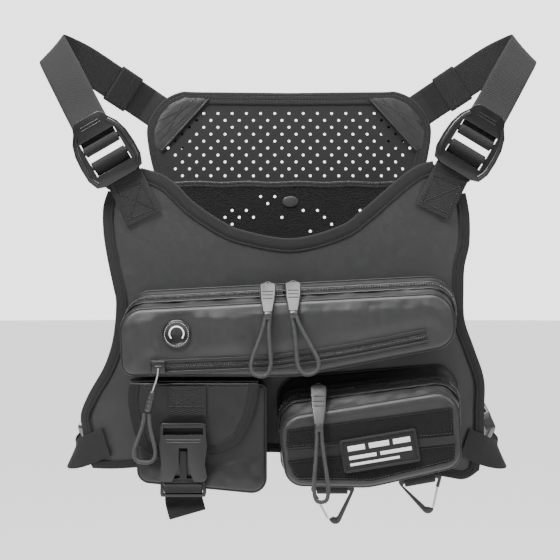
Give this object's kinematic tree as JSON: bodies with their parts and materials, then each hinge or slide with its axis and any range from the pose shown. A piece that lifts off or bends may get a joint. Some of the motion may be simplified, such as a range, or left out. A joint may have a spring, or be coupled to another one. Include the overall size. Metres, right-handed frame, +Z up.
{
  "type": "utility chest vest",
  "caption": "Load-carrying chest vest: pocketed front panel, back panel, adjustable shoulder and side webbing, and clip-on hooks.",
  "frame": {"origin": "on the wearer's side of the front panel, midway across, a little above the main pocket's lower edge", "axes": "+Y towards the wearer and the back panel, so the outside of the front faces -Y; +Z up; +X towards the left arm of the wearer"},
  "size_m": [0.5248, 0.2053, 0.5066],
  "materials": {
    "coated_cloth": "matte polyurethane-coated nylon with a fine twill",
    "spacer_mesh": "perforated spacer mesh",
    "binding_tape": "woven binding tape with a diagonal twill",
    "webbing": "ribbed polyester webbing",
    "plastic": "satin moulded acetal",
    "rubber": "grey moulded rubber",
    "cord": "braided cord",
    "zip_teeth": "coil zip on black tape",
    "wire": "drawn steel wire",
    "loop_fleece": "brushed loop fleece",
    "patch_cloth": "woven cloth with a raised border and pale bars"
  },
  "bodies": {
    "vest": {"front_panel": "coated_cloth", "chest_lining": "spacer_mesh", "hem_binding": "binding_tape", "side_binding_right": "binding_tape", "neck_binding": "binding_tape", "side_binding_left": "binding_tape", "ladder_lock_left": "plastic", "shoulder_anchor_left": "webbing", "shoulder_strap_left": "webbing", "side_web_left": "webbing", "side_socket_left": "plastic", "side_strap_left": "webbing", "ladder_lock_right": "plastic", "shoulder_anchor_right": "webbing", "shoulder_strap_right": "webbing", "side_web_right": "webbing", "side_socket_right": "plastic", "side_strap_right": "webbing", "back_panel": "spacer_mesh", "back_binding": "binding_tape", "main_pocket_shell": "coated_cloth", "main_zip_chain": "zip_teeth", "right_pocket_shell": "coated_cloth", "right_zip_chain": "zip_teeth", "face_zip_chain": "zip_teeth", "earphone_port": "rubber", "flap_pouch_shell": "coated_cloth", "pouch_top_cover": "coated_cloth", "loop_field_upper": "loop_fleece", "loop_field_lower": "loop_fleece", "hook_loop_left": "webbing", "hook_loop_right": "webbing"},
    "main_left_slider": {"main_left_slider": "plastic"},
    "main_left_pull": {"main_left_pull": "rubber", "main_left_cord": "cord"},
    "main_right_slider": {"main_right_slider": "plastic"},
    "main_right_pull": {"main_right_pull": "rubber", "main_right_cord": "cord"},
    "right_slider": {"right_slider": "plastic"},
    "right_pull": {"right_pull": "rubber", "right_cord": "cord"},
    "face_slider": {"face_slider": "plastic"},
    "face_wire": {"face_pull_wire": "wire", "face_pull_ferrule": "rubber", "face_cord": "cord"},
    "flap": {"pouch_flap": "coated_cloth", "flap_binding": "binding_tape", "flap_webbing": "webbing", "pouch_buckle_socket": "plastic"},
    "flap_plug": {"pouch_buckle_plug": "plastic", "pouch_strap": "webbing"},
    "hook_left": {"snap_hook_left": "plastic"},
    "gate_left": {"hook_gate_left": "wire"},
    "hook_right": {"snap_hook_right": "plastic"},
    "gate_right": {"hook_gate_right": "wire"},
    "keeper_left": {"strap_keeper_left": "binding_tape"},
    "keeper_right": {"strap_keeper_right": "binding_tape"},
    "patch": {"name_patch": "patch_cloth"},
    "side_plug_left": {"side_plug_left": "plastic"},
    "side_plug_right": {"side_plug_right": "plastic"}
  },
  "joints": [
    {"name": "main_left_zip", "type": "slide", "parent": "vest", "child": "main_left_slider", "axis": [0.9987, 0, 0.0519], "range_m": [-0.07, 0]},
    {"name": "main_left_pull_swing", "type": "hinge", "parent": "main_left_slider", "child": "main_left_pull", "pos_m": [-0.02043, -0.03028, 0.0345], "axis": [-1, 0, 0], "range_deg": [0, 80]},
    {"name": "main_right_zip", "type": "slide", "parent": "vest", "child": "main_right_slider", "axis": [0.9987, 0, 0.0519], "range_m": [0, 0.1]},
    {"name": "main_right_pull_swing", "type": "hinge", "parent": "main_right_slider", "child": "main_right_pull", "pos_m": [0.00157, -0.03028, 0.03565], "axis": [-1, 0, 0], "range_deg": [0, 80]},
    {"name": "right_zip", "type": "slide", "parent": "vest", "child": "right_slider", "axis": [0.9929, 0, 0.1187], "range_m": [0, 0.1]},
    {"name": "right_pull_swing", "type": "hinge", "parent": "right_slider", "child": "right_pull", "pos_m": [0.03316, -0.03307, -0.06573], "axis": [-1, 0, 0], "range_deg": [0, 60]},
    {"name": "face_zip", "type": "slide", "parent": "vest", "child": "face_slider", "axis": [0.9992, 0, 0.04], "range_m": [0, 0.08], "deforming": ["face_cord"]},
    {"name": "face_wire_swing", "type": "hinge", "parent": "face_slider", "child": "face_wire", "pos_m": [-0.126, -0.0586, -0.046], "axis": [-1, 0, 0], "range_deg": [0, 95]},
    {"name": "flap_hinge", "type": "hinge", "parent": "vest", "child": "flap", "pos_m": [-0.09, -0.046, -0.062], "axis": [-1, 0, 0], "range_deg": [0, 95]},
    {"name": "flap_buckle_release", "type": "slide", "parent": "flap", "child": "flap_plug", "axis": [0, 0, -1], "range_m": [0, 0.042]},
    {"name": "hook_left_swing", "type": "hinge", "parent": "vest", "child": "hook_left", "pos_m": [0.0455, -0.014, -0.1695], "axis": [1, 0, 0], "range_deg": [-50, 50]},
    {"name": "gate_left_open", "type": "hinge", "parent": "hook_left", "child": "gate_left", "pos_m": [0.0309, -0.014, -0.1815], "axis": [0, -1, 0], "range_deg": [0, 20], "stiffness_Nm_per_rad": 0.02},
    {"name": "hook_right_swing", "type": "hinge", "parent": "vest", "child": "hook_right", "pos_m": [0.1335, -0.014, -0.16], "axis": [0.9848, 0, 0.1736], "range_deg": [-50, 50]},
    {"name": "gate_right_open", "type": "hinge", "parent": "hook_right", "child": "gate_right", "pos_m": [0.15154, -0.014, -0.169], "axis": [0, 1, 0], "range_deg": [0, 12], "stiffness_Nm_per_rad": 0.02},
    {"name": "keeper_left_slide", "type": "slide", "parent": "vest", "child": "keeper_left", "axis": [0.7534, 0.4591, -0.4708], "range_m": [-0.012, 0.012]},
    {"name": "keeper_right_slide", "type": "slide", "parent": "vest", "child": "keeper_right", "axis": [-0.7534, 0.4591, -0.4708], "range_m": [-0.012, 0.012]},
    {"name": "patch_peel", "type": "slide", "parent": "vest", "child": "patch", "axis": [0, -1, 0], "range_m": [0, 0.025]},
    {"name": "side_buckle_left_release", "type": "slide", "parent": "vest", "child": "side_plug_left", "axis": [0.2999, 0.5497, 0.7796], "range_m": [0, 0.035], "deforming": ["side_strap_left"]},
    {"name": "side_buckle_right_release", "type": "slide", "parent": "vest", "child": "side_plug_right", "axis": [-0.2999, 0.5497, 0.7796], "range_m": [0, 0.035], "deforming": ["side_strap_right"]}
  ],
  "couplings": [
    {"joint": "face_wire_swing", "follows": "flap_hinge", "ratio": 1}
  ]
}
